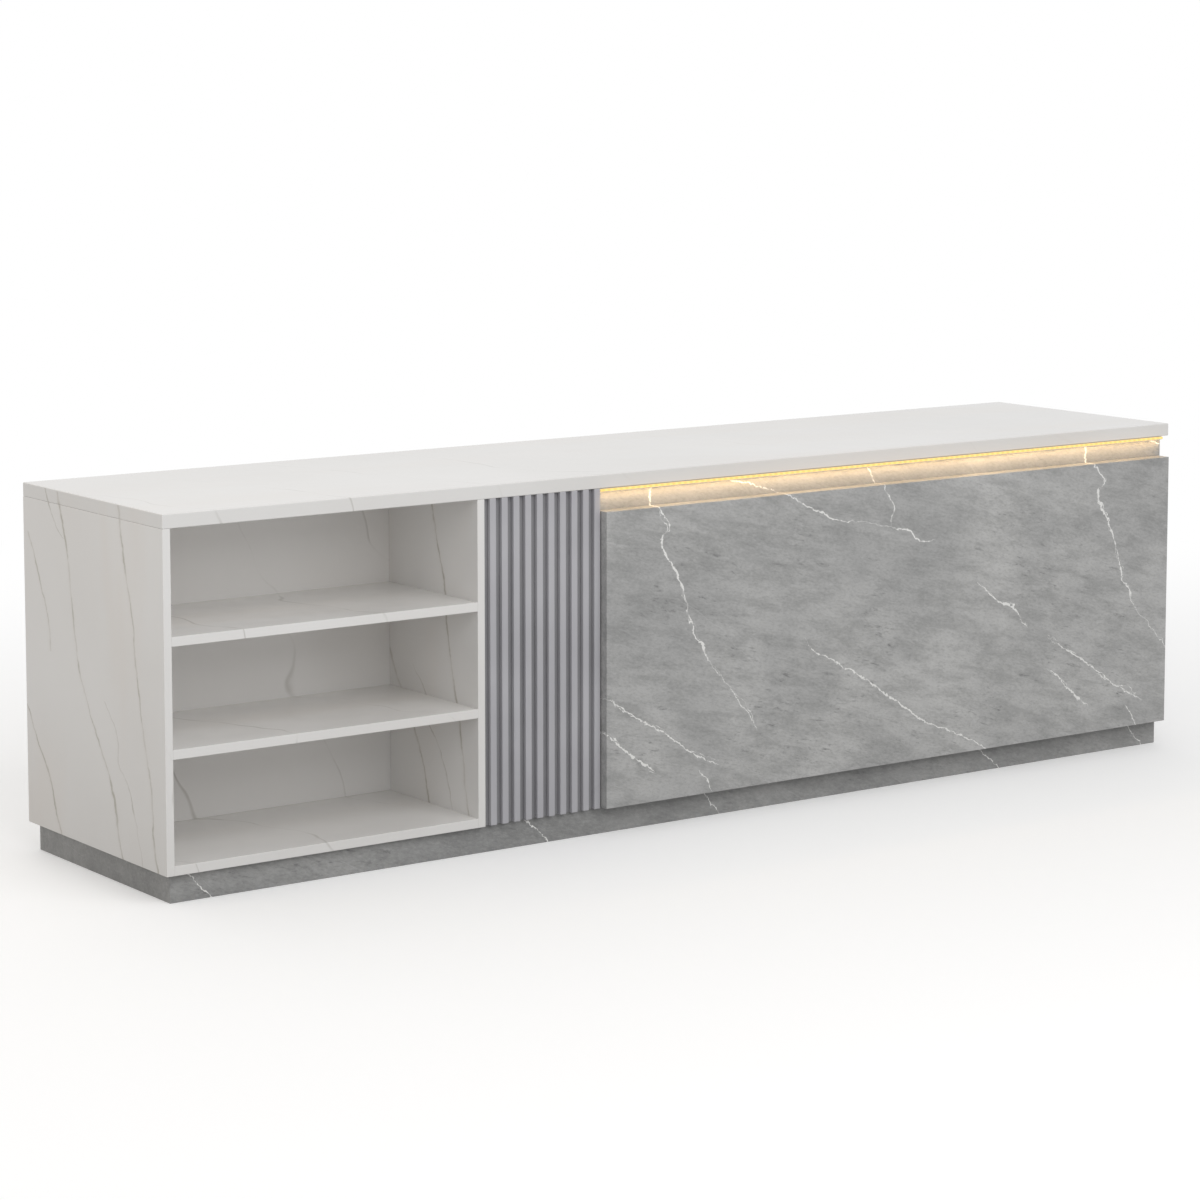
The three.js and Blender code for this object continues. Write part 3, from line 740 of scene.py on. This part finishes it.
def cash_lock():
    """The cylinder lock: a dished collar, a plug with a keyway, and the cam behind the front."""
    low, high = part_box("cash_lock")
    x, z = (low.x + high.x) / 2, (low.z + high.z) / 2
    collar = (high.x - low.x) / 2
    barrel = collar - 2 * MM
    long = high.y - low.y
    rim = long - 2 * MM
    eased = 0.8 * MM
    dish = 7.2 * MM
    dish_floor = long - 1.2 * MM
    body = [(0, 0), (barrel, 0), (barrel, rim), (collar, rim), (collar, long - eased),
            (collar - eased, long), (dish, long), (dish - eased, dish_floor), (0, dish_floor)]
    bm = bmesh.new()
    add_turned(bm, body, (x, low.y, z), (0, 1, 0), 48)
    # The plug's two halves stand in the dish, with the keyway between them.
    plug = 5.8 * MM
    keyway = 0.9 * MM
    keyway_reach = 5.6 * MM
    steps = 12
    for side in (-1, 1):
        half_disc = [(side * keyway, -keyway_reach)]
        for i in range(steps + 1):
            turn = math.radians(-78 + 156 * i / steps)
            half_disc.append((side * plug * math.cos(turn), plug * math.sin(turn)))
        half_disc.append((side * keyway, keyway_reach))
        add_extruded(bm, half_disc, lambda a, b, t: Vector((x + a, t, z + b)),
                     high.y - 1.3 * MM, high.y - 0.2 * MM)
    made = piece("cash_lock_plug", bm, "cash_lock", "lock_chrome")
    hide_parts("cash_lock")
    # Behind the front: the cam, the nut on the stud that holds it, and the lock's own ring.
    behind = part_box("drawer_top_front")[0].y
    bm = bmesh.new()
    add_box(bm, (x - 4 * MM, behind - 3.2 * MM, z - 5 * MM),
            (x + 4 * MM, behind - 1.2 * MM, z + 17 * MM), 0.6 * MM)
    nut, nut_end = 4.6 * MM, 2.6 * MM
    stud, stud_end = 2.2 * MM, 4 * MM
    add_turned(bm, [(0, 0), (nut, 0), (nut, nut_end), (stud, nut_end), (stud, stud_end), (0, stud_end)],
               (x, behind - 3.1 * MM, z), (0, -1, 0), 6)
    ring, ring_end = 8.6 * MM, 1.4 * MM
    add_turned(bm, [(0, 0), (ring, 0), (ring, ring_end), (0, ring_end)], (x, behind, z), (0, -1, 0), 32)
    piece("cash_lock_cam", bm, "cash_lock", "runner_zinc")


# ---------------------------------------------------------------- cabinet fittings

PIN_FROM_FRONT = 50 * MM
PIN_FROM_REAR = 55 * MM
PIN_BELOW = 4 * MM  # from a shelf's underside to the middle of its pins
KNUCKLE = 1.9 * MM  # radius of a hinge's barrel
HINGE_LENGTH = 64 * MM
HINGE_FROM_END = 70 * MM
LEAF = 0.7 * MM  # thickness of a hinge's leaf
PLAY = 0.3 * MM  # between its leaves, and between its knuckles


def add_span(bm, first, last, radius=0.0):
    """A box between two opposite corners, given in any order."""
    pairs = [sorted(pair) for pair in zip(first, last)]
    add_box(bm, [low for low, high in pairs], [high for low, high in pairs], radius)


def butt_hinges(door, side):
    """Two butt hinges whose pins lie on the door's outer front edge, the line it turns about.
    side is +1 where the door runs towards +X from its hinges. Knuckles are in turn on the
    cabinet and on the door; the cabinet's leaf lies beside the door's, in the gap."""
    low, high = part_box(door)
    x = low.x if side > 0 else high.x
    pin = high.y
    gap = x - side * LEAF
    wall = gap - side * PLAY
    leaf_end = pin - KNUCKLE - PLAY
    count = 5
    step = HINGE_LENGTH / count
    long = step - PLAY
    eased = 0.3 * MM
    knuckle = [(0, 0), (KNUCKLE - eased, 0), (KNUCKLE, eased), (KNUCKLE, long - eased),
               (KNUCKLE - eased, long), (0, long)]
    finial = [(0, 0), (1.3 * MM, 0), (1.8 * MM, 0.9 * MM), (1.8 * MM, 1.8 * MM),
              (1.2 * MM, 2.7 * MM), (0, 3 * MM)]
    screw = 2.6 * MM

    def flush_screw(bm, at, axis):
        add_disc(bm, at, axis, screw, 0.2 * MM, 0.1 * MM, 16)

    fixed, turning = bmesh.new(), bmesh.new()
    for foot in (low.z + HINGE_FROM_END, high.z - HINGE_FROM_END - HINGE_LENGTH):
        top = foot + HINGE_LENGTH - PLAY
        for i in range(count):
            bm, face = (fixed, wall) if i % 2 == 0 else (turning, x)
            start = foot + i * step
            add_turned(bm, knuckle, (x, pin, start), (0, 0, 1), 20)
            # A tongue joins each leaf to its own knuckles and to no others.
            add_span(bm, (face, leaf_end - 1 * MM, start), (face - side * LEAF, pin, start + long))
        for end, way in ((foot, -1), (top, 1)):
            add_turned(fixed, finial, (x, pin, end), (0, 0, way), 20)
        add_span(turning, (x, low.y + 0.6 * MM, foot), (gap, leaf_end, top), 0.2 * MM)
        add_span(fixed, (wall, low.y - 0.3 * MM, foot), (wall - side * LEAF, leaf_end, top), 0.2 * MM)
        heights = [foot + HINGE_LENGTH * part for part in (0.18, 0.5, 0.82)]
        for z in heights:
            flush_screw(turning, (gap, (low.y + pin) / 2, z), (-side, 0, 0))
        if side > 0:
            # On the end panel the leaf runs on into the cupboard.
            rear = low.y - 26 * MM
            add_span(fixed, (wall, rear, foot), (wall - LEAF, low.y, top), 0.2 * MM)
            for z in heights:
                add_screw(fixed, (wall, low.y - 14 * MM, z), (1, 0, 0), screw)
        else:
            # Behind the door it turns onto the upright's rear edge and is let into it.
            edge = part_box("display_right_upright")[1].y
            seat = (x - 7 * MM, edge + 0.25 * MM, top)
            add_span(fixed, (wall + LEAF, edge - 0.3 * MM, foot), seat, 0.1 * MM)
            for z in heights:
                flush_screw(fixed, (x - 3.4 * MM, edge + 0.2 * MM, z), (0, 1, 0))
    piece(door + "_hinges_fixed", fixed, "counter", "runner_zinc")
    piece(door + "_hinges_turning", turning, door, "runner_zinc")


def slide_member(runner, body, side):
    """The member that runs inside a C-section runner, fixed to the drawer or tray beside it."""
    low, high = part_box(runner)
    middle = (low.z + high.z) / 2
    proud = 0.9 * MM
    face = (high.x if side > 0 else low.x) + side * proud
    deep = 6.5 * MM
    wall = 1.4 * MM
    half = 11 * MM
    section = [(0, -half), (-deep, -half), (-deep, -half + wall), (-wall, -half + wall),
               (-wall, half - wall), (-deep, half - wall), (-deep, half), (0, half)]
    bm = bmesh.new()
    add_extruded(bm, section, lambda a, b, t: Vector((face + side * a, t, middle + b)),
                 low.y + 6 * MM, high.y - 3 * MM)
    piece(runner + "_inner", bm, body, "runner_zinc", 20)


def drawer_fixings(which):
    """Four screws that hold the drawer's front to its box."""
    low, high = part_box(f"drawer_{which}_box")
    wall = 12 * MM
    bm = bmesh.new()
    for x in (low.x + 60 * MM, high.x - 60 * MM):
        for z in (low.z + 20 * MM, high.z - 16 * MM):
            add_screw(bm, (x, high.y - wall, z), (0, -1, 0))
    piece(f"drawer_{which}_screws", bm, f"drawer_{which}", "runner_zinc")


def shelf_bores(shelf, count):
    """Columns of sleeved 5 mm shelf-pin bores at the 32 mm pitch, count of them above the
    shelf's own pin and as many below it, on the boards beside a shelf."""
    low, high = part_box(shelf)
    pitch = 32 * MM
    bore, flange = 2.5 * MM, 3.4 * MM
    sleeve = [(0, 0.1 * MM), (bore, 0.1 * MM), (bore, 0.45 * MM), (flange, 0.35 * MM), (flange, 0), (0, 0)]
    levels = [i for i in range(-count, count + 1) if i != 0]
    bm = bmesh.new()
    for x, facing in ((low.x, 1), (high.x, -1)):
        for y in (low.y + PIN_FROM_FRONT, high.y - PIN_FROM_REAR):
            for i in levels:
                add_turned(bm, sleeve, (x, y, low.z - PIN_BELOW + i * pitch), (facing, 0, 0), 16)
    piece(shelf + "_bores", bm, "counter", "black_plastic")


def worktop_brackets():
    """Angle brackets that fix the worktop to the boards under it, two to each face."""
    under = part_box("worktop")[0].z
    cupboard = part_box("storage_shelf")
    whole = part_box("kneehole_partition")
    faces = (
        (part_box("left_end_panel")[1].x, 1, cupboard),
        (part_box("display_right_upright")[0].x, -1, cupboard),
        (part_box("drawer_partition")[1].x, 1, whole),
        (whole[0].x, -1, whole),
        (whole[1].x, 1, whole),
        (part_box("right_end_panel")[0].x, -1, whole),
    )
    leg = 22 * MM
    half = 9 * MM  # of a bracket's width
    thick = 1.6 * MM
    from_bend = leg * 0.6
    screw = 2.8 * MM
    bm = bmesh.new()
    for x, facing, (low, high) in faces:
        for y in (low.y + 45 * MM, high.y - 45 * MM):
            add_span(bm, (x, y - half, under - leg), (x + facing * thick, y + half, under), 0.4 * MM)
            add_span(bm, (x, y - half, under - thick), (x + facing * leg, y + half, under), 0.4 * MM)
            for screw_y in (y - 4 * MM, y + 4 * MM):
                add_screw(bm, (x + facing * thick, screw_y, under - from_bend), (facing, 0, 0), screw)
                add_screw(bm, (x + facing * from_bend, screw_y, under - thick), (0, 0, -1), screw)
    piece("worktop_brackets", bm, "counter", "runner_zinc")


def shelf_pins(shelf):
    """Spoon pins under a shelf's four corners."""
    low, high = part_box(shelf)
    collar = 1.2 * MM
    half = 3.5 * MM  # of a spoon's width
    bm = bmesh.new()
    for x, side in ((low.x, 1), (high.x, -1)):
        for y in (low.y + PIN_FROM_FRONT, high.y - PIN_FROM_REAR):
            add_disc(bm, (x, y, low.z - PIN_BELOW), (side, 0, 0), 4 * MM, collar)
            inner = (x + side * collar, y - half, low.z - 1.4 * MM)
            add_span(bm, inner, (x + side * 9 * MM, y + half, low.z), 0.4 * MM)
    piece(shelf + "_pins", bm, "counter", "runner_zinc")


def recess_facing():
    """The stone-print laminate on the recess's face, from the panel's ledge up to the light."""
    low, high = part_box("carcass_front_board")
    panel_low, panel_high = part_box("front_marble_panel")
    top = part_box("led_channel")[0].z - 0.2 * MM
    thick = 0.8 * MM
    bm = bmesh.new()
    add_box(bm, (panel_low.x, low.y - thick, panel_high.z), (high.x, low.y, top), 0.2 * MM)
    facing = piece("recess_facing", bm, "counter", "grey_marble_board")
    # Its copy of the grey print is darker, with weaker clouds: painted light, where the glow washes the
    # clouds out.
    facing.data.materials[0] = RECESS_MARBLE_PAINTED_LIGHT


def driver_details():
    """Screws on the driver's flanges and ribs on its cover."""
    low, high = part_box("led_driver")
    bm = bmesh.new()
    for x in (low.x + 10 * MM, high.x - 10 * MM):
        for z in (low.z + 4 * MM, high.z - 4 * MM):
            add_screw(bm, (x, low.y + 3 * MM, z), (0, 1, 0), 3 * MM)
    piece("led_driver_screws", bm, "counter", "runner_zinc")
    rib = 3 * MM
    pitch = 12.5 * MM
    bm = bmesh.new()
    for i in range(9):
        x = low.x + 30 * MM + i * pitch
        add_box(bm, (x, high.y - 0.2 * MM, low.z + 11 * MM),
                (x + rib, high.y + 1.4 * MM, high.z - 11 * MM), 0.5 * MM)
    piece("led_driver_ribs", bm, "counter", "black_plastic")


def lead_clip():
    """A P-clip above the driver: a strap round the lead, and a foot screwed to the board."""
    low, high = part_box("led_driver")
    lead_low, lead_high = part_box("led_lead")
    x = lead_low.x + 2 * MM
    y = (low.y + high.y) / 2
    z = (low.z + lead_high.z) / 2 + 8 * MM
    board = low.y
    half = 4 * MM  # of the strap's width, and from the lead's middle to its outside
    clear = 2.3 * MM  # from the lead's middle to the strap's inside
    foot = 1.5 * MM
    bm = bmesh.new()
    add_box(bm, (x - 5 * MM, board, z - half), (x + 12 * MM, board + foot, z + half), 0.4 * MM)
    add_box(bm, (x - half, board + 1 * MM, z - half), (x - clear, y + half, z + half), 0.4 * MM)
    add_box(bm, (x + clear, board + 1 * MM, z - half), (x + half, y + half, z + half), 0.4 * MM)
    add_box(bm, (x - half, y + clear, z - half), (x + half, y + half, z + half), 0.4 * MM)
    add_screw(bm, (x + 8.5 * MM, board + foot, z), (0, 1, 0), 2.5 * MM)
    piece("led_lead_clip", bm, "counter", "black_plastic")


dress_cad()

HANDLES = {
    "drawer_top_handle": "drawer_top",
    "drawer_middle_handle": "drawer_middle",
    "drawer_bottom_handle": "drawer_bottom",
    "storage_handle_left": "storage_door_left",
    "storage_handle_right": "storage_door_right",
}
for node, body in HANDLES.items():
    bow_handle(node, body)
cash_lock()
butt_hinges("storage_door_left", 1)
butt_hinges("storage_door_right", -1)
for which in ("top", "middle", "bottom"):
    drawer_fixings(which)
    slide_member(f"drawer_{which}_runner_left", f"drawer_{which}", 1)
    slide_member(f"drawer_{which}_runner_right", f"drawer_{which}", -1)
slide_member("tray_runner_left", "keyboard_tray", 1)
slide_member("tray_runner_right", "keyboard_tray", -1)
recess_facing()
driver_details()
lead_clip()
for shelf in ("storage_shelf", "bag_shelf"):
    shelf_pins(shelf)
    shelf_bores(shelf, 4)
worktop_brackets()


# ---------------------------------------------------------------- finish

set_camera()
set_world()
set_floor()
set_lights()
bpy.context.scene.view_settings.view_transform = "Standard"
